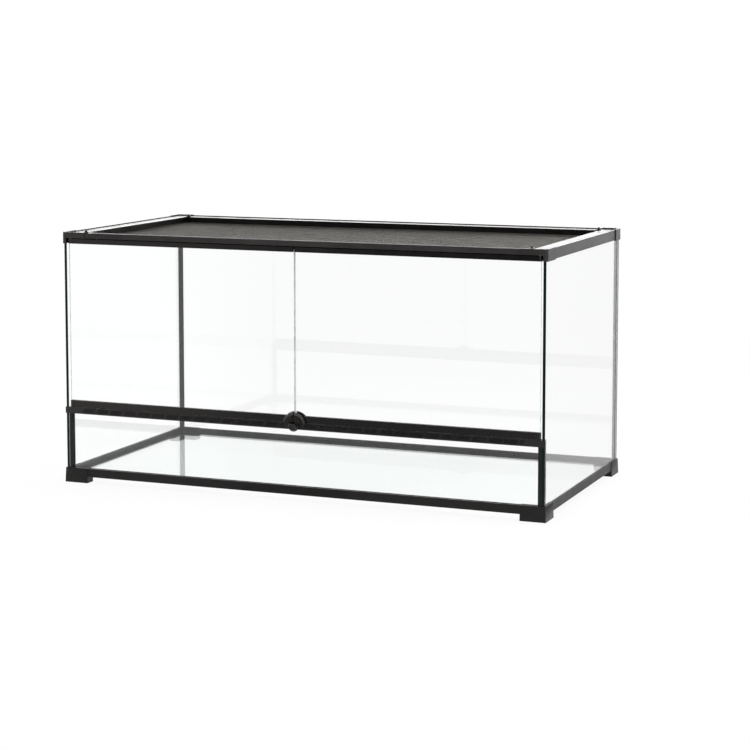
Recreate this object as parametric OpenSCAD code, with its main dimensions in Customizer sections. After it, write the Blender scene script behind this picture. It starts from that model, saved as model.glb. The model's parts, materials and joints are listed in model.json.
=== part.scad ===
// Reptile terrarium: a glass tank with a vent strip and two swinging doors in front, under a
// screen cover that lifts out. X points right, the doors face -Y and Z points up from the table.
// Sections are drawn as (s, z): s is the distance inward from the outer plane of the corner
// pieces, and z is the height above the table.

/* [Overall size] */
// Width across the corner pieces
tank_w = 900; // [600:10:1200]
// Depth across the corner pieces, without the pulls and the knob
tank_d = 450; // [350:10:600]
// Height from the table to the top of the corner pieces
tank_h = 450; // [350:10:900]

/* [Glass] */
// Thickness of the side and rear panels
wall_glass = 5; // [4:0.5:6]
// Thickness of the floor panel
floor_glass = 5; // [4:0.5:8]
// Thickness of the lower front panel
front_glass = 5; // [4:0.5:6]
// Distance of the lower front panel behind the outer plane
front_set = 6; // [5:0.5:7]
// Thickness of the door panels
door_glass = 4; // [3:0.5:5]

/* [Base] */
// Gap between the table and the base rails
ground_gap = 11; // [8:0.5:20]
// Height of the base rails
base_rail_h = 15; // [12:0.5:25]
// Height of the feet above the base rails
foot_lip = 0.5; // [0:0.1:3]
// Length of the feet's arms
foot_arm = 45; // [40:1:60]
// Width of the feet's arms
foot_w = 20; // [19:0.5:30]
// Draft of the feet's outer faces
foot_draft = 1; // [0:0.1:1.2]
// Setback of every rail behind the corner pieces
rail_set = 1.5; // [1.3:0.1:2]
// Thickness of the rails' outer walls
rail_skin = 1.4; // [1.2:0.1:2]
// Thickness of the base rails' web under the glass
web_t = 2.5; // [2:0.1:4]
// Thickness of the base rails' inner walls
inner_wall = 2; // [1.5:0.1:3]
// Width of the ledge that carries the floor panel
floor_ledge = 6.5; // [5:0.5:8]
// Distance of the rails' tenon ends inside the outer planes
tenon_s = 20; // [19:1:30]

/* [Corners of the tank] */
// Width of the upright posts at the ends of the lower front panel
post_w = 7; // [5:0.5:9]
// Wall of the posts in front of and behind the panel
post_wall = 2.4; // [1.5:0.1:3]
// Depth of the groove in the posts
post_groove = 3; // [2:0.5:4]
// Width of the rear corner seals on the side panels
seal_side = 9; // [5:0.5:12]
// Width of the rear corner seals on the rear panel
seal_rear = 6.5; // [5:0.5:12]

/* [Vent strip] */
// Height of the vent strip's underside above the table
vent_z = 124.8; // [80:0.1:160]
// Height of the vent strip
vent_h = 11.7; // [11:0.1:16]
// Depth of the vent strip
vent_d = 14; // [13.5:0.5:20]
// Setback of the vent strip's face
vent_set = 1; // [0.5:0.1:1.5]
// Thickness of the vent strip's face
vent_skin = 2; // [1.5:0.1:2.5]
// Thickness of the vent strip's floor
vent_floor = 2.4; // [1.5:0.1:3]
// Thickness of the vent strip's roof
vent_roof = 1.5; // [1:0.1:2]
// Height of the air gap over the vent strip's rear wall
vent_gap = 1.6; // [1:0.1:3]
// Wall round the top edge of the lower front panel
holder_wall = 1; // [0.6:0.1:1.4]
// Depth of the slot for the panel's top edge
holder_depth = 3.7; // [3:0.1:4]
// Width of the end blocks
vent_end_w = 14; // [12:0.5:20]
// Length of the end blocks' spigots in the strip
vent_spigot = 10; // [5:0.5:12]
// Width of each vent slot
slot_w = 1.7; // [1:0.1:2.2]
// Spacing of the vent slots
slot_pitch = 3.45; // [3:0.05:6]
// Slots in each group
group_slots = 7; // [3:1:12]
// Lean of the slots
slot_lean = 30; // [0:5:40]
// Plain width at each end of the strip
vent_plain_end = 14; // [12:1:40]
// Plain width on each side of the lock
vent_plain_lock = 17; // [12:1:40]

/* [Doors] */
// Thickness of the door rails
door_rail_t = 8; // [7:0.5:9]
// Height of the bottom door rails
door_bottom_h = 11.5; // [10:0.5:20]
// Height of the top door rails
door_top_h = 8.5; // [8:0.5:14]
// Depth of the glass grooves in the bottom rails
bottom_groove = 6.5; // [4:0.5:6.5]
// Depth of the glass grooves in the top rails
top_groove = 5; // [3:0.5:5]
// Setback of the door rails' faces
door_set = 2; // [1.5:0.1:2.5]
// Gap between the two doors
door_seam = 2; // [1:0.5:4]
// Gap under the doors
door_gap_bottom = 0.5; // [0.3:0.1:2]
// Gap over the doors
door_gap_top = 1.5; // [0.5:0.1:2]
// Distance of the hinge axes inside the side panels
hinge_in = 6.5; // [6:0.5:8]
// Radius of the hinge pins
hinge_pin_r = 2; // [1.5:0.1:2.2]
// Depth of the hinge bore in the vent end blocks
bore_bottom = 6; // [4:0.5:7]
// Depth of the hinge bore in the top corner pieces
bore_top = 6.5; // [4:0.5:8]
// Depth of the hinge pins in the door rails
pin_seat = 3; // [2:0.5:4]

/* [Pulls and lock] */
// Radius of the pulls
pull_r = 23; // [20:0.5:30]
// Depth of the pulls
pull_d = 7; // [6:0.5:12]
// Rounding of the pulls' shoulder
pull_round = 6; // [3:0.5:6]
// Radius of the clamp plates behind the doors
clamp_r = 24.5; // [20:0.5:30]
// Thickness of the clamp plates
clamp_t = 2.5; // [1.5:0.5:4]
// Height of the lock's axis above the vent strip's underside
lock_up = 6.2; // [6:0.1:7]
// Radius of the lock knob
knob_r = 9.2; // [7:0.1:10]
// Thickness of the knob's flange
knob_flange = 4.7; // [3:0.1:6]
// Radius of the knob's boss
boss_r = 7; // [5:0.1:7.5]
// Length of the lock knob
knob_l = 10; // [8:0.1:24]
// Height of the knob's flat above its axis
knob_flat = 5.1; // [4:0.1:5.2]
// Depth of the hollow in the boss
knob_dish = 1.2; // [0.5:0.1:2]
// Radius of the lock spindle
spindle_r = 2.5; // [1.5:0.1:2.6]
// Radius of the retaining clip
clip_r = 3.4; // [3.2:0.1:3.5]
// Thickness of the retaining clip
clip_t = 1; // [0.6:0.1:1.2]

/* [Top frame] */
// Height of the corner pieces above the top rails
corner_lip = 1; // [0:0.1:2]
// Length of the front top corner pieces' arms
corner_arm = 45; // [40:1:60]
// Length of the rear top corner pieces' arms
rear_arm = 34; // [30:1:60]
// Height of the top corner pieces
corner_h = 20.5; // [19.5:0.5:26]
// Rounding of the tank's upper upright corners
corner_round = 5; // [2:0.5:7]
// Width of the front corner pieces' legs
corner_leg = 7.5; // [5:0.5:7.5]
// Height of the side and rear top rails
top_rail_h = 18.5; // [18:0.5:24]
// Height of the front top rail
top_front_h = 9.5; // [9:0.5:9.5]
// Depth of the rails to their inner face
top_rail_s = 14; // [13.6:0.1:14.4]
// Height of the rails' outer lip above the screen cover
lip_h = 1.6; // [0.8:0.1:2]
// Width of the rails' outer lip
lip_w = 2; // [1.4:0.1:2.4]
// Depth of the doors' stop behind the front top rail
stop_t = 3.5; // [2:0.5:3.5]
// Height of the glass above the rails' lower edge
top_grip = 13.5; // [8:0.5:14]
// Wall of the hollows in the top rails
hollow_wall = 1.5; // [1:0.1:1.6]
// Length of the spigots in the top rails
spigot_l = 12; // [6:1:20]

/* [Screen cover] */
// Width of the screen bars
bar_w = 17.6; // [16:0.2:24]
// Height of the screen bars
bar_h = 12; // [11.5:0.5:12.5]
// Length of the corner blocks' arms
block_arm = 33.6; // [28:0.2:50]
// Width of the ledge that carries the cover
ledge_w = 6.5; // [5:0.5:7]
// Thickness of the ledge that carries the cover
ledge_t = 3; // [2:0.5:3]
// Thickness of the mesh
mesh_t = 0.8; // [0.6:0.1:1.2]
// Height of the mesh above the bars' underside
mesh_up = 1; // [0.8:0.1:1.5]
// Grip of the bars on the mesh
mesh_grip = 8; // [7:0.5:8]
// Openings along the mesh's width
mesh_columns = 12; // [8:2:12]
// Openings along the mesh's depth
mesh_rows = 6; // [4:2:8]
// Width of the webs between the openings
mesh_web = 3; // [2:0.5:8]
// Width of the mesh's edge strip inside the front and rear bars
mesh_rim = 4; // [1:0.5:6]
// Width of the spline
spline_w = 2.5; // [2:0.1:3]
// Height of the spline
spline_h = 2.5; // [2:0.1:3]

/* [Screen locks] */
// Distance of the locks' axes inside the side planes
lock_side = 35; // [34:0.5:38]
// Distance of the locks' axes inside the front and rear planes
lock_end = 25; // [24.5:0.5:26]
// Radius of the locks' shafts
screen_pin_r = 2.5; // [2:0.1:2.6]
// Radius of the locks' heads
head_r = 4.4; // [3.5:0.1:4.5]
// Thickness of the locks' heads
head_t = 1.5; // [1:0.1:2]
// Length of the grip on the heads
grip_l = 5.6; // [4:0.1:7]
// Thickness of the grip on the heads
grip_t = 2.4; // [1.5:0.1:3]
// Height of the grip above the heads
grip_h = 3.2; // [2:0.1:6]
// Reach of the tongues from the locks' axes
tongue_l = 10.5; // [8:0.5:10.5]
// Width of the tongues
tongue_w = 6; // [5.6:0.1:6.4]
// Thickness of the tongues
tongue_t = 2.6; // [2:0.1:3]

/* [Hidden] */
$fn = 96;

// Colours
plastic = "#1d1e20";
pane = [0.8, 0.92, 0.88, 0.35];
steel = "#8f9496";
seal = "#141516";

// Sides of the tank, counted from the front towards the right
front = 0;
right = 1;
rear = 2;
left = 3;

// Clearances
glass_fit = 0.1;
joint_fit = 0.1;
bore_fit = 0.08;
seat_fit = 0.03;
end_gap = 0.2;
turn_gap = 0.3;
cut = 1;

// Glass planes: s of each panel's outer and inner face
glass_s = rail_set + rail_skin + glass_fit;
wall_in = glass_s + wall_glass;
front_in = front_set + front_glass;
floor_seat = ground_gap + web_t;
base_top = ground_gap + base_rail_h;
foot_h = base_top + foot_lip;
foot_wall = 1.3;
floor_play = 0.5;

// Lower front panel, posts and vent strip
front_end = wall_in + post_w - post_groove;
post_top = vent_z;
front_top = vent_z + holder_depth - glass_fit;
vent_top = vent_z + vent_h;
vent_back = vent_set + vent_d;
vent_end_s = wall_in + vent_end_w;
holder_top = vent_z + holder_depth + holder_wall;
slot_z0 = vent_z + vent_floor;
slot_z1 = vent_top - vent_roof;
vent_wall_s = vent_back - vent_skin;
end_skin = 1.9;
end_reach = 2;

// Top frame
rail_top = tank_h - corner_lip;
corner_z = tank_h - corner_h;
top_rail_z = rail_top - top_rail_h;
top_front_z = rail_top - top_front_h;
glass_top = top_rail_z + top_grip;
lip_s = rail_set + lip_w;
cover_top = rail_top - lip_h;
screen_z = cover_top - bar_h;
ledge_z = screen_z - ledge_t;
ledge_end = top_rail_s + ledge_w;
hollow_top = cover_top - hollow_wall;
hollow_z = screen_z + hollow_wall;

// Doors
hinge_s = wall_in + hinge_in;
hinge_y = door_set + door_rail_t / 2;
door_z = vent_top + door_gap_bottom;
door_top = top_front_z - door_gap_top;
door_pane_z = door_z + door_bottom_h - bottom_groove;
door_pane_top = door_top - door_top_h + top_groove;
pane_inset = 1.5;
pane_start = hinge_s - door_rail_t / 2 + pane_inset;
door_end = tank_w / 2 - door_seam / 2;
door_back = door_set + door_rail_t;
stop_s = top_rail_s - stop_t;

// Lock
lock_z = vent_z + lock_up;
knob_gap = 0.3;
knob_s = vent_set - knob_gap;
knob_round = 0.8;
dish_rim = 1.5;
spindle_seat = 7;
spindle_tail = 0.4;
clip_gap = 0.2;
clip_s = vent_set + vent_skin + clip_gap;
tail_s = clip_s + clip_t + spindle_tail;
notch_gap = 0.6;
grip_groove_r = 0.8;
grip_groove_out = 0.3;
grip_groove_l = 7;
grip_groove_arc = [22:8:86];
knob_groove_r = 0.6;
knob_groove_out = 0.2;
knob_groove_arc = [150:15:390];

// Screen cover
screen_gap = 0.4;
bar_s = top_rail_s + screen_gap;
bar_end = bar_s + bar_w;
block_end = bar_s + block_arm;
mesh_z = screen_z + mesh_up;
mesh_s = bar_end - mesh_grip;
notch_clear = 0.6;
mesh_notch_side = lock_side + screen_pin_r + notch_clear;
mesh_notch_end = bar_end + notch_clear;
// Clearance between the two layers of webs, and at their ends
web_gap = 0.1;
spline_in = 2;
spline_s = mesh_s + spline_in;
spline_cover = 1;
bar_rim = 4;
bar_hollow_z = mesh_z + mesh_t + spline_h + spline_cover;
head_gap = 0.2;
head_z = cover_top + head_gap;
tongue_gap = 0.4;
tongue_z = ledge_z - tongue_gap - tongue_t;
tongue_wall = 1.4;

// The pulls and the knob stand proud in front; the part is centred on its whole depth
proud = knob_l - knob_s;

function across(side) = side % 2 == 0 ? tank_w : tank_d;
function pane_out(f) = f ? front_set : glass_s;
function pane_in(f) = f ? front_in : wall_in;
function base_wall_end(f) = pane_in(f) + glass_fit + inner_wall;
function base_ledge_end(f) = base_wall_end(f) + floor_ledge;
function foot_wall_end(f) = base_wall_end(f) + joint_fit + foot_wall;

// Puts the part's origin under the middle of its whole box
module place() translate([0, proud / 2, 0]) children();

// A rectangle from (s0, z0) to (s1, z1)
module rect(s0, z0, s1, z1) translate([s0, z0]) square([s1 - s0, z1 - z0]);

// Extrudes an (s, z) section along one side of the tank, its middle off the side's by shift
module run(side, len, shift = 0)
    rotate(90 * side) translate([shift - len / 2, -across(side + 1) / 2, 0])
        rotate([90, 0, 90]) linear_extrude(len) children();

// Local frame of a corner: x and y are the distances inward from its two outer planes
module at_corner(is_right, is_rear)
    translate([(is_right ? 1 : -1) * tank_w / 2, (is_rear ? 1 : -1) * tank_d / 2, 0])
        mirror([is_right ? 1 : 0, 0, 0]) mirror([0, is_rear ? 1 : 0, 0]) children();

// In a corner's frame, extrudes an (s, z) section along x or along y
module along_x(x0, x1)
    translate([x0, 0, 0]) rotate([90, 0, 90]) linear_extrude(x1 - x0) children();
module along_y(y0, y1)
    translate([0, y1, 0]) rotate([90, 0, 0]) linear_extrude(y1 - y0) children();

// Box from one corner to the other
module box(lo, hi) translate(lo) cube(hi - lo);

// --- Base ---

// Part of the base rail that enters the feet: web, ledge and inner wall
module tenon_section(f) {
    rect(glass_s, ground_gap, base_ledge_end(f), floor_seat);
    rect(pane_in(f) + glass_fit, ground_gap, base_wall_end(f), base_top);
}

module base_rail(side) {
    f = side == front;
    color(plastic) place() {
        run(side, across(side) - 2 * (foot_arm + end_gap)) {
            rect(rail_set, ground_gap, pane_out(f) - glass_fit, base_top);
            rect(rail_set, ground_gap, base_ledge_end(f), floor_seat);
        }
        run(side, across(side) - 2 * tenon_s) tenon_section(f);
    }
}

// Seat for a rail's tenon, a little larger than the tenon all round
module tenon_seat(f) {
    rect(glass_s - joint_fit, ground_gap - joint_fit,
        base_ledge_end(f) + joint_fit, floor_seat + joint_fit);
    rect(pane_out(f) - glass_fit, ground_gap - joint_fit,
        base_wall_end(f) + joint_fit, foot_h + cut);
}

module pane_slot(f) rect(pane_out(f) - glass_fit, floor_seat, pane_in(f) + glass_fit, foot_h + cut);

// Upright trapezoid whose outer edge leans in by the draft
module draft_section()
    polygon([[0, 0], [foot_arm, 0], [foot_arm, foot_h], [foot_draft, foot_h]]);

module foot(is_right, is_rear) {
    f = !is_rear;
    seat_start = tenon_s - end_gap;
    pane_start_x = f ? front_end - glass_fit : wall_in;
    color(plastic) place() at_corner(is_right, is_rear) difference() {
        intersection() {
            linear_extrude(foot_h) union() {
                square([foot_arm, foot_w]);
                square([foot_w, foot_arm]);
            }
            along_x(0, foot_arm) draft_section();
            along_y(0, foot_arm) draft_section();
        }
        along_x(seat_start, foot_arm + cut) tenon_seat(f);
        along_y(seat_start, foot_arm + cut) tenon_seat(false);
        along_x(pane_start_x, foot_arm) pane_slot(f);
        along_y(glass_s - glass_fit, foot_arm) pane_slot(false);
        box([foot_wall_end(false), foot_wall_end(f), floor_seat],
            [foot_arm + cut, foot_arm + cut, foot_h + cut]);
    }
}

// --- Glass ---

module bottom_glass() {
    edge_side = foot_wall_end(false) + floor_play;
    edge_front = foot_wall_end(true) + floor_play;
    color(pane) place()
        box([edge_side - tank_w / 2, edge_front - tank_d / 2, floor_seat],
            [tank_w / 2 - edge_side, tank_d / 2 - edge_side, floor_seat + floor_glass]);
}

module rear_glass() color(pane) place()
    run(rear, tank_w - 2 * (wall_in + glass_fit)) rect(glass_s, floor_seat, wall_in, glass_top);

module side_glass(side) color(pane) place()
    run(side, tank_d - 2 * glass_s) rect(glass_s, floor_seat, wall_in, glass_top);

module lower_front_glass() color(pane) place()
    run(front, tank_w - 2 * front_end) rect(front_set, floor_seat, front_in, front_top);

// --- Upright posts and seals ---

module front_post(is_right) {
    post_s0 = front_set - glass_fit - post_wall;
    post_s1 = front_in + glass_fit + post_wall;
    color(plastic) place() at_corner(is_right, false) difference() {
        box([wall_in, post_s0, foot_h], [wall_in + post_w, post_s1, post_top]);
        box([front_end - glass_fit, front_set - glass_fit, foot_h - cut],
            [wall_in + post_w + cut, front_in + glass_fit, post_top + cut]);
    }
}

module corner_seals() color(seal) place()
    for (is_right = [false, true]) at_corner(is_right, true)
        translate([wall_in, wall_in, foot_h]) linear_extrude(corner_z - foot_h)
            polygon([[0, 0], [seal_rear, 0], [0, seal_side]]);

// --- Vent strip ---

// A leaning slot, drawn from its lower left corner
module vent_slot() {
    slot_h = slot_z1 - slot_z0;
    lean = slot_h * tan(slot_lean);
    polygon([[0, 0], [slot_w, 0], [slot_w + lean, slot_h], [lean, slot_h]]);
}

// Slots of one half of the strip, as many whole slots as fit between x0 and x1
module vent_slots(x0, x1) {
    lean = (slot_z1 - slot_z0) * tan(slot_lean);
    count = floor((x1 - x0 - slot_w - lean) / slot_pitch);
    for (i = [0:count])
        if (i % (group_slots + 1) != group_slots)
            translate([x0 + i * slot_pitch, slot_z0]) vent_slot();
}

module holder_section() difference() {
    rect(front_set - glass_fit - holder_wall, vent_z,
        front_in + glass_fit + holder_wall, holder_top);
    rect(front_set - glass_fit, vent_z - cut, front_in + glass_fit, vent_z + holder_depth);
}

module vent_strip() {
    half = tank_w / 2 - vent_end_s - end_gap / 2;
    color(plastic) place() {
        run(front, 2 * half) {
            difference() {
                rect(vent_set, vent_z, vent_back, vent_top);
                rect(vent_set - cut, slot_z0, vent_wall_s, slot_z1);
                rect(vent_wall_s - cut, slot_z1 - vent_gap, vent_back + cut, slot_z1);
                rect(front_set - glass_fit, vent_z - cut, front_in + glass_fit, slot_z0 + cut);
            }
            holder_section();
        }
        translate([0, vent_set + vent_skin - tank_d / 2, 0]) rotate([90, 0, 0])
            linear_extrude(vent_skin) difference() {
                rect(-half, vent_z, half, vent_top);
                vent_slots(vent_plain_end - half, -vent_plain_lock);
                vent_slots(vent_plain_lock, half - vent_plain_end);
                translate([0, lock_z]) circle(r = spindle_r + bore_fit);
            }
    }
}

module vent_end(is_right) {
    spigot_s0 = front_set - glass_fit - holder_wall + joint_fit;
    spigot_z0 = holder_top + joint_fit;
    color(plastic) place() at_corner(is_right, false) difference() {
        union() {
            along_x(wall_in + end_gap, vent_end_s) rect(vent_set, vent_z, vent_back, vent_top);
            along_x(end_reach, vent_end_s) rect(vent_set, vent_z, vent_set + end_skin, vent_top);
            along_x(vent_end_s - cut, vent_end_s + vent_spigot)
                rect(spigot_s0, spigot_z0, vent_wall_s - joint_fit, slot_z1 - joint_fit);
        }
        along_x(front_end - glass_fit, vent_end_s + cut)
            rect(front_set - glass_fit, vent_z - cut, front_in + glass_fit, vent_z + holder_depth);
        translate([hinge_s, hinge_y, vent_top - bore_bottom])
            cylinder(r = hinge_pin_r + bore_fit, h = bore_bottom + cut);
    }
}

// --- Doors ---

// A door rail seen from above: round at the hinge, square at the seam
module door_rail_outline() {
    translate([hinge_s, hinge_y]) circle(r = door_rail_t / 2);
    translate([hinge_s, door_set]) square([door_end - hinge_s, door_rail_t]);
}

module door_rail(is_right, z0, h, groove_z0, groove_z1, pin_z0, pin_z1)
    color(plastic) place() at_corner(is_right, false) difference() {
        translate([0, 0, z0]) linear_extrude(h) door_rail_outline();
        box([pane_start - glass_fit, hinge_y - door_glass / 2 - glass_fit, groove_z0],
            [door_end + cut, hinge_y + door_glass / 2 + glass_fit, groove_z1]);
        translate([hinge_s, hinge_y, pin_z0])
            cylinder(r = hinge_pin_r + seat_fit, h = pin_z1 - pin_z0);
    }

module door_bottom_rail(is_right)
    door_rail(is_right, door_z, door_bottom_h, door_pane_z, door_z + door_bottom_h + cut,
        door_z - cut, door_z + pin_seat);

module door_top_rail(is_right)
    door_rail(is_right, door_top - door_top_h, door_top_h, door_top - door_top_h - cut,
        door_pane_top, door_top - pin_seat, door_top + cut);

module door_pane(is_right) color(pane) place() at_corner(is_right, false)
    box([pane_start, hinge_y - door_glass / 2, door_pane_z],
        [door_end, hinge_y + door_glass / 2, door_pane_top - glass_fit]);

module door_pins(is_right) color(steel) place() at_corner(is_right, false)
    translate([hinge_s, hinge_y, 0]) {
        translate([0, 0, vent_top - bore_bottom])
            cylinder(r = hinge_pin_r, h = bore_bottom + door_gap_bottom + pin_seat);
        translate([0, 0, door_top - pin_seat])
            cylinder(r = hinge_pin_r, h = pin_seat + door_gap_top + bore_top - turn_gap);
    }

// Half section of a turned disc with a rounded front edge: radius r, depth d
module round_disc_section(r, d, round) {
    square([r - round, d]);
    square([r, d - round]);
    intersection() {
        square([r, d]);
        translate([r - round, d - round]) circle(r = round);
    }
}

// Short grooves across the rounded shoulder of a disc, at the angles of arc
module shoulder_grooves(r, d, round, arc)
    for (a = arc) rotate(a) translate([r - round, 0, d - round]) rotate([0, 45, 0])
        translate([0, 0, round + grip_groove_out]) rotate([0, 90, 0])
            cylinder(r = grip_groove_r, h = grip_groove_l, center = true, $fn = 24);

// Quarter disc on the door rail's outer face, from its back at the origin to its front at z = d
module quarter_disc() difference() {
    rotate_extrude() round_disc_section(pull_r, pull_d, pull_round);
    translate([0, 0, -cut]) cylinder(r = knob_r + notch_gap, h = pull_d + 2 * cut);
    shoulder_grooves(pull_r, pull_d, pull_round, grip_groove_arc);
}

// Pull in front of one door and the plate behind the door that it is clamped to
module door_pull(is_right) color(plastic) place() mirror([is_right ? 0 : 1, 0, 0])
    intersection() {
        translate([0, -tank_d / 2, lock_z]) rotate([90, 0, 0]) {
            translate([0, 0, -door_set]) quarter_disc();
            translate([0, 0, -door_back - clamp_t]) cylinder(r = clamp_r, h = clamp_t);
        }
        box([door_seam / 2, -tank_d, door_z], [tank_w, tank_d, tank_h]);
    }

// --- Door lock ---

module at_lock(s) place() translate([0, s - tank_d / 2, lock_z]) rotate([90, 0, 0]) children();

// Grooved flange and dished boss, with one flat that lets the doors pass when it is on top
module lock_knob() color(plastic) at_lock(knob_s) difference() {
    union() {
        rotate_extrude() round_disc_section(knob_r, knob_flange, knob_round);
        rotate_extrude() round_disc_section(boss_r, knob_l, knob_round);
    }
    translate([-knob_r - cut, knob_flat, -cut]) cube([2 * (knob_r + cut), knob_r, knob_l + 2 * cut]);
    translate([0, 0, knob_l - knob_dish]) cylinder(r = knob_flat - dish_rim, h = knob_dish + cut);
    translate([0, 0, -cut]) cylinder(r = spindle_r + seat_fit, h = spindle_seat + cut);
    for (a = knob_groove_arc) rotate(a) translate([knob_r + knob_groove_out, 0, -cut])
        cylinder(r = knob_groove_r, h = knob_flange + 2 * cut, $fn = 16);
}

module lock_spindle() color(steel) at_lock(tail_s)
    cylinder(r = spindle_r, h = tail_s - knob_s + spindle_seat);

module lock_clip() color(steel) at_lock(clip_s + clip_t) difference() {
    cylinder(r = clip_r, h = clip_t);
    translate([0, 0, -cut]) cylinder(r = spindle_r + seat_fit, h = clip_t + 2 * cut);
}

// --- Top frame ---

// Hollow of a top rail, and the spigot that fills it when play is a clearance
module hollow_section(f, play = 0) {
    if (f) rect(rail_set + hollow_wall + play, top_front_z + hollow_wall + play,
        stop_s - hollow_wall - play, hollow_top - play);
    else rect(wall_in + glass_fit + hollow_wall + play, hollow_z + play,
        top_rail_s - hollow_wall - play, hollow_top - play);
}

// Ledge that carries the screen cover, from the rail's inner part inward
module ledge_section() rect(stop_s, ledge_z, ledge_end, screen_z);

// Cut over the rails and corner pieces that leaves their outer lip round the screen cover
module lip_section() rect(lip_s, cover_top, top_rail_s + cut, tank_h + cut);

module top_rail(side) {
    f = side == front;
    arm0 = f ? corner_arm : rear_arm;
    arm1 = side == rear ? rear_arm : corner_arm;
    shift = side == right ? (arm1 - arm0) / 2 : side == left ? (arm0 - arm1) / 2 : 0;
    color(plastic) place() run(side, across(side) - arm0 - arm1 - 2 * end_gap, shift) {
        difference() {
            rect(rail_set, f ? top_front_z : top_rail_z, top_rail_s, rail_top);
            if (!f) rect(glass_s - glass_fit, top_rail_z - cut,
                wall_in + glass_fit, glass_top + glass_fit);
            hollow_section(f);
            lip_section();
        }
        if (f) rect(stop_s, ledge_z, top_rail_s, cover_top);
        ledge_section();
    }
}

// Corner piece of the top frame; the front ones leave room for the doors' hinge ends
module top_corner(is_right, is_rear) {
    f = !is_rear;
    arm = is_rear ? rear_arm : corner_arm;
    far = arm + spigot_l;
    color(plastic) place() at_corner(is_right, is_rear) difference() {
        union() {
            translate([0, 0, corner_z]) linear_extrude(corner_h) {
                translate([corner_round, corner_round]) circle(r = corner_round);
                translate([corner_round, 0]) square([arm - corner_round, top_rail_s]);
                translate([0, corner_round]) square([top_rail_s, arm - corner_round]);
            }
            along_x(top_rail_s - cut, arm) ledge_section();
            along_y(top_rail_s - cut, arm) ledge_section();
            along_x(arm - cut, far) hollow_section(f, joint_fit);
            along_y(arm - cut, far) hollow_section(false, joint_fit);
        }
        box([lip_s, lip_s, cover_top], [arm + cut, arm + cut, tank_h + cut]);
        along_y(glass_s - glass_fit, arm + cut)
            rect(glass_s - glass_fit, corner_z - cut, wall_in + glass_fit, glass_top + glass_fit);
        if (f) {
            box([corner_leg, -cut, corner_z - cut], [far, stop_s, top_front_z]);
            box([top_rail_s, stop_s - cut, corner_z - cut], [far, top_rail_s + cut, ledge_z]);
            translate([hinge_s, hinge_y, top_front_z - cut])
                cylinder(r = hinge_pin_r + bore_fit, h = bore_top + cut);
        }
        else along_x(wall_in, arm + cut)
            rect(glass_s - glass_fit, corner_z - cut, wall_in + glass_fit, glass_top + glass_fit);
    }
}

// --- Screen cover ---

module mesh_slot_section()
    rect(mesh_s - glass_fit, mesh_z - glass_fit, bar_end + cut, mesh_z + mesh_t + glass_fit);

// Hollow of a screen bar, and the corner block's spigot when play is a clearance
module bar_hollow(play = 0)
    rect(bar_s + hollow_wall + play, bar_hollow_z + play,
        bar_end - bar_rim - play, hollow_top - play);

module screen_bar(side) color(plastic) place()
    run(side, across(side) - 2 * (block_end + end_gap)) difference() {
        rect(bar_s, screen_z, bar_end, cover_top);
        mesh_slot_section();
        rect(spline_s, mesh_z, spline_s + spline_w, mesh_z + mesh_t + spline_h);
        bar_hollow();
    }

module screen_corner(is_right, is_rear) color(plastic) place() at_corner(is_right, is_rear)
    difference() {
        union() {
            translate([0, 0, screen_z]) linear_extrude(bar_h) {
                translate([bar_s, bar_s]) square([bar_w, block_arm]);
                translate([bar_s, bar_s]) square([block_arm, bar_w]);
            }
            along_x(block_end - cut, block_end + spigot_l) bar_hollow(joint_fit);
            along_y(block_end - cut, block_end + spigot_l) bar_hollow(joint_fit);
        }
        along_x(mesh_notch_side - glass_fit, block_end + spigot_l) mesh_slot_section();
        along_y(mesh_notch_end - glass_fit, block_end + spigot_l) mesh_slot_section();
        translate([lock_side, lock_end, screen_z - cut])
            cylinder(r = screen_pin_r + bore_fit, h = bar_h + 2 * cut);
    }

module centred_box(x, y, z, size) translate([x, y, z]) cube(size, center = true);

// Coarse stand-in for the fine weave: two crossing layers of webs inside four edge strips, which
// the bars grip and which end short of the corner blocks
module screen_mesh() color(steel) place() {
    half_w = tank_w / 2 - mesh_notch_side;
    half_d = tank_d / 2 - bar_end - mesh_rim;
    side_w = mesh_notch_side - mesh_s;
    end_w = bar_end + mesh_rim - mesh_s;
    web_t = (mesh_t - web_gap) / 2;
    run_w = 2 * (half_w - web_gap);
    run_d = 2 * (half_d - web_gap);
    for (way = [-1, 1]) {
        centred_box(way * (half_w + side_w / 2), 0, mesh_z + mesh_t / 2,
            [side_w, tank_d - 2 * mesh_notch_end, mesh_t]);
        centred_box(0, way * (half_d + end_w / 2), mesh_z + mesh_t / 2, [run_w, end_w, mesh_t]);
    }
    for (i = [1:mesh_columns - 1])
        centred_box((i - mesh_columns / 2) * (2 * half_w + mesh_web) / mesh_columns, 0,
            mesh_z + mesh_t - web_t / 2, [mesh_web, run_d, web_t]);
    for (j = [1:mesh_rows - 1])
        centred_box(0, (j - mesh_rows / 2) * (2 * half_d + mesh_web) / mesh_rows,
            mesh_z + web_t / 2, [run_w, mesh_web, web_t]);
}

module screen_spline() color(seal) place()
    for (side = [front, right, rear, left]) run(side, across(side) - 2 * (block_end + end_gap))
        rect(spline_s, mesh_z + mesh_t, spline_s + spline_w - glass_fit,
            mesh_z + mesh_t + spline_h - glass_fit);

// --- Screen locks ---

module at_screen_lock(is_right, is_rear) place() at_corner(is_right, is_rear)
    translate([lock_side, lock_end, 0]) children();

// Shaft, head and upright grip
module screen_lock(is_right, is_rear) color(plastic) at_screen_lock(is_right, is_rear) {
    translate([0, 0, tongue_z]) cylinder(r = screen_pin_r, h = head_z - tongue_z + head_t / 2);
    translate([0, 0, head_z]) cylinder(r = head_r, h = head_t);
    translate([-grip_t / 2, -grip_l / 2, head_z + head_t / 2])
        cube([grip_t, grip_l, head_t / 2 + grip_h]);
}

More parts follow.
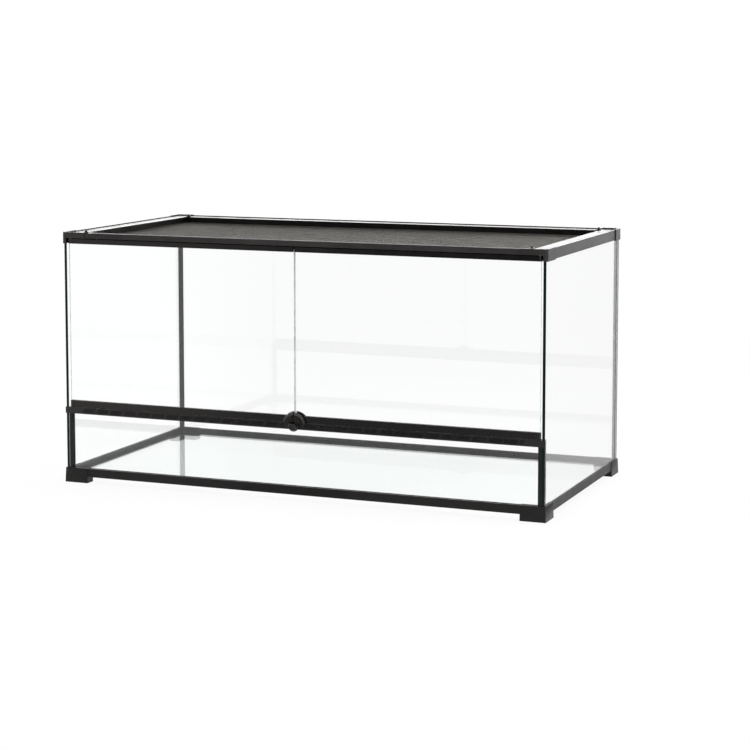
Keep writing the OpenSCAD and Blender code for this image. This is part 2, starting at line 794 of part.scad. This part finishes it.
// Tongue along the lock's free direction, rounded at its tip and round the shaft
module screen_tongue(is_right, is_rear) color(plastic) at_screen_lock(is_right, is_rear)
    translate([0, 0, tongue_z]) linear_extrude(tongue_t) difference() {
        union() {
            circle(r = screen_pin_r + tongue_wall);
            translate([0, -tongue_w / 2]) square([tongue_l - tongue_w / 2, tongue_w]);
            translate([tongue_l - tongue_w / 2, 0]) circle(r = tongue_w / 2);
        }
        circle(r = screen_pin_r + seat_fit);
    }

base_rail(front);  // base_rail_front
base_rail(right);  // base_rail_right
base_rail(rear);  // base_rail_rear
base_rail(left);  // base_rail_left
foot(false, false);  // foot_front_left
foot(true, false);  // foot_front_right
foot(false, true);  // foot_rear_left
foot(true, true);  // foot_rear_right
bottom_glass();
rear_glass();
side_glass(left);  // left_glass
side_glass(right);  // right_glass
lower_front_glass();
front_post(false);  // front_post_left
front_post(true);  // front_post_right
corner_seals();
vent_strip();
vent_end(false);  // vent_end_left
vent_end(true);  // vent_end_right
top_rail(front);  // top_rail_front
top_rail(right);  // top_rail_right
top_rail(rear);  // top_rail_rear
top_rail(left);  // top_rail_left
top_corner(false, false);  // top_corner_front_left
top_corner(true, false);  // top_corner_front_right
top_corner(false, true);  // top_corner_rear_left
top_corner(true, true);  // top_corner_rear_right
door_pane(false);  // left_door_glass
door_bottom_rail(false);  // left_door_bottom_rail
door_top_rail(false);  // left_door_top_rail
door_pull(false);  // left_door_pull
door_pins(false);  // left_door_pins
door_pane(true);  // right_door_glass
door_bottom_rail(true);  // right_door_bottom_rail
door_top_rail(true);  // right_door_top_rail
door_pull(true);  // right_door_pull
door_pins(true);  // right_door_pins
lock_knob();
lock_spindle();
lock_clip();
screen_bar(front);  // screen_bar_front
screen_bar(right);  // screen_bar_right
screen_bar(rear);  // screen_bar_rear
screen_bar(left);  // screen_bar_left
screen_corner(false, false);  // screen_corner_front_left
screen_corner(true, false);  // screen_corner_front_right
screen_corner(false, true);  // screen_corner_rear_left
screen_corner(true, true);  // screen_corner_rear_right
screen_mesh();
screen_spline();
screen_lock(false, false);  // screen_lock_front_left
screen_lock(true, false);  // screen_lock_front_right
screen_lock(false, true);  // screen_lock_rear_left
screen_lock(true, true);  // screen_lock_rear_right
screen_tongue(false, false);  // screen_tongue_front_left
screen_tongue(true, false);  // screen_tongue_front_right
screen_tongue(false, true);  // screen_tongue_rear_left
screen_tongue(true, true);  // screen_tongue_rear_right
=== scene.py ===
"""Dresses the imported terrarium: moulded plastic, glass with dark edges, a woven wire mesh, and a
plain white studio seen through a long lens. Lengths are in metres, in the part's own frame."""

import json
import math

import bpy
import numpy as np
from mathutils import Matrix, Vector


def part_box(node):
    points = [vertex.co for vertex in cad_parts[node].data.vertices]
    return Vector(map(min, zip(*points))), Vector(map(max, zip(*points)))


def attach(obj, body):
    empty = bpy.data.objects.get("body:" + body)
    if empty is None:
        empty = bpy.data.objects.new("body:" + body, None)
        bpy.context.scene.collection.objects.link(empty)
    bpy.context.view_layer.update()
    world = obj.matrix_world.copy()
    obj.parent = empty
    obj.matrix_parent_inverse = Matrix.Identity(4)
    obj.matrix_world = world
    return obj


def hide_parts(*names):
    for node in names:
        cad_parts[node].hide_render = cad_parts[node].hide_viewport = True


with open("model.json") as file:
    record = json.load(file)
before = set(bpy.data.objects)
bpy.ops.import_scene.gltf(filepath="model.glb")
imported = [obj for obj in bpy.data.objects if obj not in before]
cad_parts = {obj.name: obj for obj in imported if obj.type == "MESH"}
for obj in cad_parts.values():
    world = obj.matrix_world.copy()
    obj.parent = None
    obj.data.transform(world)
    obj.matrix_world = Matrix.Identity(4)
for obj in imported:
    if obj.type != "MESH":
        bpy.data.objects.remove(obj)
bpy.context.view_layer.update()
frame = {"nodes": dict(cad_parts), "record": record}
nodes = frame["nodes"]

MM = 0.001
SLOTS = {row["node"]: row["material_slot"] for row in frame["record"]["subparts"]}


# ---------------------------------------------------------------- shader nodes
class ShaderTree:
    """A short way to write shader nodes: add() makes a node, sets its inputs and returns it."""

    def __init__(self, tree):
        self.tree = tree
        self.tree.nodes.clear()

    def add(self, kind, inputs=None, **settings):
        node = self.tree.nodes.new(kind)
        for key, value in settings.items():
            setattr(node, key, value)
        for key, value in (inputs or {}).items():
            socket = node.inputs[key]
            if isinstance(value, bpy.types.NodeSocket):
                self.tree.links.new(value, socket)
            else:
                socket.default_value = value
        return node

    def math(self, operation, first, second, use_clamp=False):
        node = self.add("ShaderNodeMath", {0: first, 1: second}, operation=operation,
                        use_clamp=use_clamp)
        return node.outputs[0]

    def ramp(self, factor, low, high, position=(0.3, 0.7)):
        """A number that goes from low to high as factor goes through position."""
        node = self.add(
            "ShaderNodeMapRange",
            {"Value": factor, "From Min": position[0], "From Max": position[1],
             "To Min": low, "To Max": high},
        )
        return node.outputs["Result"]

    def choose(self, switch, off, on):
        """off where switch is 0 and on where it is 1; off and on are numbers or sockets."""
        node = self.add("ShaderNodeMix", {"Factor": switch, "A": off, "B": on})
        return node.outputs["Result"]

    def blend(self, factor, first, second):
        """A colour that goes from first to second as factor goes from 0 to 1."""
        node = self.add("ShaderNodeMixRGB", {"Fac": factor, "Color1": (*first, 1),
                                             "Color2": (*second, 1)})
        return node.outputs["Color"]

    def noise(self, scale, detail, roughness=0.5):
        """Noise in the piece's own coordinates, with scale in cycles per metre."""
        where = self.add("ShaderNodeTexCoord").outputs["Object"]
        node = self.add("ShaderNodeTexNoise", {"Vector": where, "Scale": scale,
                                               "Detail": detail, "Roughness": roughness})
        return node.outputs["Fac"]

    def bump(self, height, strength, distance):
        node = self.add("ShaderNodeBump", {"Height": height, "Strength": strength,
                                           "Distance": distance})
        return node.outputs["Normal"]

    def output(self, kind, socket):
        out = self.add(kind)
        self.tree.links.new(socket, out.inputs["Surface"])


def new_material(name):
    """An empty material and its shader tree."""
    material = bpy.data.materials.new(name)
    material.use_nodes = True
    return material, ShaderTree(material.node_tree)


def with_surface(material, tree, socket):
    """The material, finished with the given shader as its surface."""
    tree.output("ShaderNodeOutputMaterial", socket)
    return material


# ---------------------------------------------------------------- materials
PLASTIC_IOR = 1.5
SHEEN_TINT = (1.0, 0.95, 0.91, 1)
GRAIN = 0.35 * MM
GRAIN_DEPTH = 0.012 * MM
GRAIN_STRENGTH = 0.35
FLOW_MARKS_PER_M = 28.0
FLOW_MARK_LIFT = 1.35
MOTTLE_PER_M = 900.0
MOTTLE_DEPTH = 0.02 * MM
TURNING_MARKS_PER_M = 2500.0
WIRE_PATCHES_PER_M = 160.0
WIRE_TINT = (0.55, 0.54, 0.52, 1)
GLASS_IOR = 1.5
EDGE_STREAKS_PER_M = 120.0


def moulded_plastic(name, colour, roughness, sheen):
    """Satin injection-moulded plastic: a fine grain, faint flow marks and an uneven sheen."""
    material, t = new_material(name)
    grain = t.noise(1 / GRAIN, 2.0, roughness=0.6)
    marks = t.noise(FLOW_MARKS_PER_M, 3.0)
    lifted = tuple(c * FLOW_MARK_LIFT for c in colour)
    shader = t.add(
        "ShaderNodeBsdfPrincipled",
        {"Base Color": t.blend(t.ramp(marks, 0.0, 1.0), colour, lifted),
         "Roughness": t.ramp(marks, roughness - 0.04, roughness + 0.05),
         "IOR": PLASTIC_IOR, "Specular IOR Level": sheen, "Specular Tint": SHEEN_TINT,
         "Normal": t.bump(grain, GRAIN_STRENGTH, GRAIN_DEPTH)},
    )
    return with_surface(material, t, shader.outputs["BSDF"])


def rubber(name, colour):
    """Matte rubber with a soft mottled surface."""
    material, t = new_material(name)
    mottle = t.noise(MOTTLE_PER_M, 3.0)
    shader = t.add(
        "ShaderNodeBsdfPrincipled",
        {"Base Color": (*colour, 1), "Specular IOR Level": 0.3,
         "Roughness": t.ramp(mottle, 0.55, 0.75),
         "Normal": t.bump(mottle, 0.3, MOTTLE_DEPTH)},
    )
    return with_surface(material, t, shader.outputs["BSDF"])


def turned_steel(name):
    """Plain steel with fine turning marks."""
    material, t = new_material(name)
    marks = t.noise(TURNING_MARKS_PER_M, 2.0)
    shader = t.add(
        "ShaderNodeBsdfPrincipled",
        {"Base Color": (0.5, 0.5, 0.5, 1), "Metallic": 1.0,
         "Roughness": t.ramp(marks, 0.25, 0.42)},
    )
    return with_surface(material, t, shader.outputs["BSDF"])


def mesh_wire(name, dark, light):
    """Dark lacquered wire: each wire a little lighter or duller than the next."""
    material, t = new_material(name)
    patch = t.noise(WIRE_PATCHES_PER_M, 4.0)
    shader = t.add(
        "ShaderNodeBsdfPrincipled",
        {"Base Color": t.blend(t.ramp(patch, 0.0, 1.0), dark, light), "Metallic": 1.0,
         "Specular Tint": WIRE_TINT,
         "Roughness": t.ramp(patch, 0.24, 0.4)},
    )
    return with_surface(material, t, shader.outputs["BSDF"])


def clear_glass(name, tint):
    """Float glass; lamps shine through it, so that it throws no dark shadow."""
    material, t = new_material(name)
    glass = t.add("ShaderNodeBsdfPrincipled",
                  {"Base Color": (*tint, 1), "Roughness": 0.0, "IOR": GLASS_IOR,
                   "Transmission Weight": 1.0})
    open_air = t.add("ShaderNodeBsdfTransparent", {"Color": (*tint, 1)})
    path = t.add("ShaderNodeLightPath")
    mix = t.add("ShaderNodeMixShader",
                {0: path.outputs["Is Shadow Ray"], 1: glass.outputs["BSDF"],
                 2: open_air.outputs["BSDF"]})
    return with_surface(material, t, mix.outputs["Shader"])


def glass_edge(name, colour, specular):
    """The cut edge of a pane, with faint cutting streaks."""
    material, t = new_material(name)
    streak = t.noise(EDGE_STREAKS_PER_M, 3.0)
    dull = tuple(c * 0.8 for c in colour)
    bright = tuple(c * 1.3 for c in colour)
    shader = t.add("ShaderNodeBsdfPrincipled",
                   {"Base Color": t.blend(t.ramp(streak, 0.0, 1.0), dull, bright),
                    "Roughness": 0.35, "Specular IOR Level": specular})
    return with_surface(material, t, shader.outputs["BSDF"])


# Painted light and shade: the frame's one black plastic is paler on the top frame and darker on
# the base rails, feet and front posts
FRAME_PLASTIC = moulded_plastic("frame_plastic", (0.028, 0.0262, 0.026), 0.34, 0.2)
# Duller sheen on the front rail and front screen bar; their colour is lifted to stand in for the
# sheen taken off, a painted sheen
FRONT_PLASTIC = moulded_plastic("front_rail_plastic", (0.031, 0.029, 0.0288), 0.5, 0.08)
FRONT_COVER = moulded_plastic("front_cover_plastic", (0.004, 0.0038, 0.0038), 0.5, 0.06)
# Painted shade: the base's darker tone of the same black plastic
BASE_PLASTIC = moulded_plastic("base_plastic", (0.0105, 0.0102, 0.0104), 0.36, 0.2)
COVER_PLASTIC = moulded_plastic("cover_plastic", (0.0025, 0.0024, 0.0024), 0.34, 0.26)
DOOR_PLASTIC = moulded_plastic("door_plastic", (0.0034, 0.0033, 0.0037), 0.27, 0.42)
# Painted light: the vent strip's face is paler than the door plastic, so that it reads lit beside
# its dark slots
VENT_PLASTIC = moulded_plastic("vent_plastic", (0.0095, 0.0092, 0.0098), 0.27, 0.42)
PULL_PLASTIC = moulded_plastic("pull_plastic", (0.0024, 0.0023, 0.0026), 0.15, 0.5)
# Partly painted light: the knob's paler tone stands in for the light its face catches; its sheen
# is real
KNOB_PLASTIC = moulded_plastic("knob_plastic", (0.0048, 0.0047, 0.0050), 0.15, 0.8)
RUBBER = rubber("seal_rubber", (0.008, 0.008, 0.009))
STEEL = turned_steel("turned_steel")
WIRE = mesh_wire("lacquered_wire", (0.034, 0.0325, 0.031), (0.095, 0.092, 0.087))
GLASS = clear_glass("float_glass", (0.996, 1.0, 0.9985))
FLOOR_GLASS = clear_glass("float_glass_floor", (0.94, 0.975, 0.963))
DARK_EDGE = glass_edge("glass_edge_dark", (0.0020, 0.0125, 0.0095), 0.12)
# Painted light: door and rear pane edges get a pale copy of the edge colour that stands in for
# light seen through the glass
PAINTED_LIT_EDGE = glass_edge("glass_edge_painted_lit", (0.66, 0.69, 0.68), 0.4)

BY_SLOT = {"black_plastic": FRAME_PLASTIC, "black_rubber": RUBBER, "pin_steel": STEEL,
           "clear_glass": GLASS, "woven_mesh": WIRE}
# Plastic pieces that get a tone and sheen of their own, some of them painted light or shade, by
# the start of the node's name; the first match counts
BY_NODE = {"top_rail_front": FRONT_PLASTIC, "screen_bar_front": FRONT_COVER,
           "screen": COVER_PLASTIC, "left_door_pull": PULL_PLASTIC,
           "right_door_pull": PULL_PLASTIC, "left_door": DOOR_PLASTIC,
           "right_door": DOOR_PLASTIC, "vent": VENT_PLASTIC, "lock_knob": KNOB_PLASTIC,
           "base": BASE_PLASTIC, "foot": BASE_PLASTIC, "front_post": BASE_PLASTIC}


# ---------------------------------------------------------------- CAD nodes
# Edge rounding in millimetres, by the start of the node's name
EDGE_ROUND = {"lock_knob": 0.25, "screen_lock": 0.3, "screen_tongue": 0.3, "vent_strip": 0.18,
              "left_door_pull": 0.25, "right_door_pull": 0.25, "foot": 0.9, "top_corner": 0.5,
              "top_rail": 0.2}
OTHER_EDGES = 0.5
SHARP_ANGLE = math.radians(40)
WELD_WITHIN = 0.002 * MM
# A face is narrow where its normal has less than this along the axis across the pane
NARROW_BELOW = 0.5
# Axis across a pane's faces; the other panes stand along X, so theirs is Y
PANE_AXIS = {"bottom_glass": 2, "left_glass": 0, "right_glass": 0}
FRONT_OR_REAR = 1


def by_start(table, node_name, otherwise):
    """The table's entry whose key begins the node's name."""
    found = [value for start, value in table.items() if node_name.startswith(start)]
    return found[0] if found else otherwise


def material_of(node_name):
    """The slot's material, or the finish that this node has of its own."""
    material = BY_SLOT[SLOTS[node_name]]
    if material is FRAME_PLASTIC:
        material = by_start(BY_NODE, node_name, material)
    return FLOOR_GLASS if node_name == "bottom_glass" else material


def soften(piece, width_mm):
    """Rounds the sharp edges that a mould never leaves sharp."""
    weld = piece.modifiers.new("weld", "WELD")
    weld.merge_threshold = WELD_WITHIN
    bevel = piece.modifiers.new("edge_round", "BEVEL")
    bevel.width = width_mm * MM
    bevel.segments = 2
    bevel.limit_method = "ANGLE"
    bevel.angle_limit = SHARP_ANGLE
    bevel.use_clamp_overlap = True
    bevel.harden_normals = True


def edge_group(axis, edge_material):
    """Geometry nodes that give a pane's narrow faces their own material."""
    group = bpy.data.node_groups.new(f"pane_edges_{axis}_{edge_material.name}", "GeometryNodeTree")
    group.interface.new_socket("Geometry", in_out="INPUT", socket_type="NodeSocketGeometry")
    group.interface.new_socket("Geometry", in_out="OUTPUT", socket_type="NodeSocketGeometry")
    made = group.nodes.new
    link = group.links.new
    source = made("NodeGroupInput")
    target = made("NodeGroupOutput")
    normal = made("GeometryNodeInputNormal")
    split = made("ShaderNodeSeparateXYZ")
    size = made("ShaderNodeMath")
    size.operation = "ABSOLUTE"
    narrow = made("ShaderNodeMath")
    narrow.operation = "LESS_THAN"
    narrow.inputs[1].default_value = NARROW_BELOW
    paint = made("GeometryNodeSetMaterial")
    paint.inputs["Material"].default_value = edge_material
    link(normal.outputs[0], split.inputs[0])
    link(split.outputs[axis], size.inputs[0])
    link(size.outputs[0], narrow.inputs[0])
    link(narrow.outputs[0], paint.inputs["Selection"])
    link(source.outputs[0], paint.inputs["Geometry"])
    link(paint.outputs["Geometry"], target.inputs[0])
    return group


def dress_cad_nodes():
    for name, piece in nodes.items():
        material = material_of(name)
        for slot in piece.material_slots:
            slot.material = material
        if material in (GLASS, FLOOR_GLASS):
            # Door and rear panes take the pale edge of painted light; the other panes keep the
            # dark green edge
            edge = PAINTED_LIT_EDGE if "door" in name or "rear" in name else DARK_EDGE
            modifier = piece.modifiers.new("pane_edges", "NODES")
            modifier.node_group = edge_group(PANE_AXIS.get(name, FRONT_OR_REAR), edge)
        elif material is not WIRE:
            soften(piece, by_start(EDGE_ROUND, name, OTHER_EDGES))


# ---------------------------------------------------------------- woven screen
PITCH = 3.0 * MM
WIRE_W = 0.55 * MM
WIRE_FLATNESS = 0.8
WEAVE = 0.24 * MM
SAG = 1.5 * MM
RIPPLE = 0.35 * MM
# Waves of the ripples: share of the height, length along x and along y, and phase
WAVES = ((0.4, 0.061, 0.083, 0.0), (0.35, 0.037, -0.119, 1.3), (0.25, 0.149, 0.052, 4.1))
ON_EDGE = 0.01 * MM
# A wire's section is a flattened square: its corners, across and up, in half widths
CORNERS_ACROSS = np.array([-1, 1, 1, -1])
CORNERS_UP = np.array([-1, -1, 1, 1])


def ripples(x, y):
    """Slight waves that a stretched mesh keeps, from -1 to 1."""
    return sum(share * np.sin(2 * math.pi * (x / along + y / across) + phase)
               for share, along, across, phase in WAVES)


def corner_notch(lo):
    """Sides of the notch that keeps the mesh out of the screen's corner blocks, read from the
    CAD mesh: where its front edge and its left edge begin."""
    points = [v.co for v in nodes["screen_mesh"].data.vertices]
    along_front = min(p.x for p in points if abs(p.y - lo.y) < ON_EDGE)
    along_left = min(p.y for p in points if abs(p.x - lo.x) < ON_EDGE)
    return (along_front - lo.x, along_left - lo.y)


def woven_wire(axis, fixed, parity, lines, mid, half, notch):
    """One wire along the axis, as the four corners of its section at each crossing: it passes
    over one crossing wire and under the next."""
    across = 1 - axis
    at_edge = abs(fixed - mid[across]) > half[across] - notch[across]
    inset = notch[axis] if at_edge else 0.0
    keep = np.abs(lines[axis] - mid[axis]) < half[axis] - inset - WIRE_W / 2
    s = lines[axis][keep]
    over = np.where((np.nonzero(keep)[0] + parity) % 2 == 0, 1.0, -1.0)
    u = (s - mid[axis]) / half[axis]
    v = (fixed - mid[across]) / half[across]
    x, y = (s, fixed) if axis == 0 else (fixed, s)
    slack = (1 - u * u) * (1 - v * v)
    z = mid[2] + over * WEAVE / 2 - SAG * slack + RIPPLE * ripples(x, y) * slack ** 0.5
    r = WIRE_W / 2
    ring = np.zeros((len(s), 4, 3))
    ring[:, :, axis] = s[:, None]
    ring[:, :, across] = fixed + r * CORNERS_ACROSS
    ring[:, :, 2] = z[:, None] + r * CORNERS_UP * WIRE_FLATNESS
    return ring


def wire_faces(first, crossings, flip):
    """The four sides between neighbouring crossings and the two end caps of one wire."""
    base = first + 4 * np.arange(crossings - 1)[:, None, None]
    side = np.arange(4)[None, :, None]
    beside = (side + 1) % 4
    sides = np.concatenate([base + side, base + beside, base + beside + 4, base + side + 4], 2)
    last = first + 4 * (crossings - 1)
    caps = np.array([[first + i for i in (3, 2, 1, 0)], [last + i for i in (0, 1, 2, 3)]])
    faces = np.concatenate([sides.reshape(-1, 4), caps])
    return faces[:, ::-1] if flip else faces


def quad_mesh(name, points, faces):
    """A smooth-shaded mesh of four-sided faces."""
    mesh = bpy.data.meshes.new(name)
    mesh.vertices.add(len(points))
    mesh.vertices.foreach_set("co", points.ravel().astype(np.float32))
    mesh.loops.add(faces.size)
    mesh.loops.foreach_set("vertex_index", faces.ravel().astype(np.int32))
    mesh.polygons.add(len(faces))
    mesh.polygons.foreach_set("loop_start", (4 * np.arange(len(faces))).astype(np.int32))
    mesh.polygons.foreach_set("use_smooth", np.ones(len(faces), bool))
    mesh.update(calc_edges=True)
    mesh.validate()
    return mesh


def woven_screen():
    """Plain weave of single wires; the whole screen hangs a little in the middle."""
    lo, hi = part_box("screen_mesh")
    mid = (lo + hi) / 2
    half = (hi - lo) / 2
    counts = [int((2 * half[i] - WIRE_W) / PITCH) for i in (0, 1)]
    lines = [mid[i] + PITCH * (np.arange(counts[i] + 1) - counts[i] / 2) for i in (0, 1)]
    notch = corner_notch(lo)
    points = []
    faces = []
    total = 0
    for axis in (0, 1):
        for k, fixed in enumerate(lines[1 - axis]):
            wire = woven_wire(axis, fixed, k + axis, lines, mid, half, notch)
            points.append(wire.reshape(-1, 3))
            faces.append(wire_faces(total, len(wire), axis == 0))
            total += 4 * len(wire)
    mesh = quad_mesh("woven_screen", np.concatenate(points), np.concatenate(faces))
    mesh.materials.append(WIRE)
    screen = bpy.data.objects.new("woven_screen", mesh)
    bpy.context.scene.collection.objects.link(screen)
    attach(screen, "screen_cover")
    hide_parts("screen_mesh")


# ---------------------------------------------------------------- studio
CAMERA_AT = Vector((1.4308, -3.4115, 0.7599))
CAMERA_YAW = 21.88
CAMERA_PITCH = -5.685
SENSOR = 36
FOCAL_PX = 2069.7
PICTURE_PX = 750
AXIS_ROW = 262.5

# Strengths of the white room: as light on things, and as seen in a mirror on each side
AMBIENT = 0.62
FRONT_LEFT = 0.95
FRONT_RIGHT = 0.12
RIGHT_SIDE = 0.78
NEAR_FLOOR = 0.5
# Share of the floor's white that glows close to the tank, so that the rest takes its shadow
FLOOR_GLOW = 0.9
FLOOR_REFLECTANCE = (0.9, 0.9, 0.9, 1)

# Where the dark flag in front of the tank begins and ends, in parts of a mirrored direction
FLAG_LEFT = (-0.5, -0.4)
FLAG_RIGHT = (0.1, 0.5)
FLAG_FRONT = (-0.6, 0.0)
FLAG_TOP = (0.25, 0.75)
RIGHT_WALL = (-0.1, 0.3)
# Distances from the tank's middle over which the floor changes
SHADOW_FADES = (0.8, 2.2)
NEAR_FADES = (0.9, 1.8)
FLOOR_REACH = 40.0
FLOOR_BELOW = 0.2 * MM


def studio_camera():
    """A long lens a little above the tank, with a small vertical shift."""
    data = bpy.data.cameras.new("camera")
    data.sensor_width = SENSOR
    data.lens = FOCAL_PX / PICTURE_PX * data.sensor_width
    data.shift_y = (AXIS_ROW - PICTURE_PX / 2) / PICTURE_PX
    data.clip_end = 100
    camera = bpy.data.objects.new("camera", data)
    camera.location = CAMERA_AT
    camera.rotation_euler = (math.radians(90 + CAMERA_PITCH), 0, math.radians(CAMERA_YAW))
    bpy.context.scene.collection.objects.link(camera)
    bpy.context.scene.camera = camera


def mirrored_room(t, direction):
    """How bright the room looks in a mirror: white behind and above the tank, pale grey on its
    right, with a dark flag in front of it that lets up towards the left and the right."""
    axes = t.add("ShaderNodeSeparateXYZ", {"Vector": direction})
    flag = t.ramp(axes.outputs["X"], FRONT_LEFT, FRONT_RIGHT, FLAG_LEFT)
    flag = t.math("ADD", flag, t.ramp(axes.outputs["X"], 0.0, 1.0, FLAG_RIGHT), True)
    front = t.ramp(axes.outputs["Y"], 1.0, 0.0, FLAG_FRONT)
    low = t.ramp(axes.outputs["Z"], 1.0, 0.0, FLAG_TOP)
    side = t.ramp(axes.outputs["X"], 1.0, RIGHT_SIDE, RIGHT_WALL)
    return t.choose(t.math("MULTIPLY", front, low), side, flag)


def studio_world():
    """White to the camera and through glass, the mirrored room to a mirror, and a plain level of
    light to everything else."""
    world = bpy.data.worlds.new("white_room")
    bpy.context.scene.world = world
    world.use_nodes = True
    t = ShaderTree(world.node_tree)
    path = t.add("ShaderNodeLightPath")
    direction = t.add("ShaderNodeTexCoord").outputs["Generated"]
    strength = t.choose(path.outputs["Is Camera Ray"], AMBIENT, 1.0)
    strength = t.choose(path.outputs["Is Glossy Ray"], strength, mirrored_room(t, direction))
    strength = t.choose(path.outputs["Is Transmission Ray"], strength, 1.0)
    light = t.add("ShaderNodeBackground", {"Color": (1, 1, 1, 1), "Strength": strength})
    t.output("ShaderNodeOutputWorld", light.outputs[0])


def floor_material():
    """White that glows to the camera, in mirrors and through glass, and keeps a faint shadow of
    the tank."""
    material, t = new_material("white_floor")
    path = t.add("ShaderNodeLightPath")
    where = t.add("ShaderNodeTexCoord").outputs["Object"]
    away = t.add("ShaderNodeVectorMath", {0: where}, operation="LENGTH").outputs["Value"]
    toward = t.add("ShaderNodeVectorMath", {0: where}, operation="NORMALIZE").outputs["Vector"]
    seen = t.ramp(away, FLOOR_GLOW, 1.0, SHADOW_FADES)
    glow = t.choose(path.outputs["Is Camera Ray"], 0.0, seen)
    glow = t.choose(path.outputs["Is Glossy Ray"], glow, 1.0)
    glow = t.choose(path.outputs["Is Transmission Ray"], glow, seen)
    far = mirrored_room(t, toward)
    near = t.math("MAXIMUM", far, NEAR_FLOOR)
    mirrored = t.choose(t.ramp(away, 0.0, 1.0, NEAR_FADES), near, far)
    strength = t.choose(path.outputs["Is Glossy Ray"], 1.0, mirrored)
    strength = t.choose(path.outputs["Is Transmission Ray"], strength, 1.0)
    paint = t.add("ShaderNodeBsdfDiffuse", {"Color": FLOOR_REFLECTANCE})
    light = t.add("ShaderNodeEmission", {"Color": (1, 1, 1, 1), "Strength": strength})
    mix = t.add("ShaderNodeMixShader", {0: glow, 1: paint.outputs[0], 2: light.outputs[0]})
    return with_surface(material, t, mix.outputs["Shader"])


def studio_floor():
    """A floor so wide that it runs into the backdrop."""
    corners = [(-FLOOR_REACH, -FLOOR_REACH, 0), (FLOOR_REACH, -FLOOR_REACH, 0),
               (FLOOR_REACH, FLOOR_REACH, 0), (-FLOOR_REACH, FLOOR_REACH, 0)]
    mesh = bpy.data.meshes.new("floor")
    mesh.from_pydata(corners, [], [(0, 1, 2, 3)])
    mesh.materials.append(floor_material())
    floor = bpy.data.objects.new("floor", mesh)
    floor.location.z = -FLOOR_BELOW
    bpy.context.scene.collection.objects.link(floor)


def softbox(name, at, target, width, height, radiance):
    """A soft lamp that isn't seen itself, but lights things and shows in their sheen."""
    data = bpy.data.lights.new(name, "AREA")
    data.shape = "RECTANGLE"
    data.size = width
    data.size_y = height
    data.energy = radiance * width * height * math.pi
    lamp = bpy.data.objects.new(name, data)
    lamp.location = at
    lamp.rotation_euler = (Vector(target) - Vector(at)).to_track_quat("-Z", "Y").to_euler()
    lamp.visible_camera = False
    lamp.visible_transmission = False
    bpy.context.scene.collection.objects.link(lamp)


def studio_lamps():
    softbox("top_softbox", (0.2, -0.3, 3.0), (0, 0, 0.2), 4.0, 3.4, 1.0)
    softbox("rear_softbox", (-1.6, 4.4, 1.1), (0, 0, 0.4), 7.0, 2.2, 3.5)
    softbox("right_softbox", (3.4, 1.4, 1.2), (0, 0, 0.3), 2.4, 2.4, 0.65)
    softbox("front_softbox", (2.4, -2.2, 2.6), (0, 0, 0.3), 0.9, 0.9, 4.0)
    softbox("key_lamp", (1.5, 0.4, 2.7), (0, 0, 0.3), 0.6, 0.6, 14.0)


# ---------------------------------------------------------------- build
dress_cad_nodes()
woven_screen()
studio_camera()
studio_world()
studio_floor()
studio_lamps()
bpy.context.scene.view_settings.view_transform = "Standard"
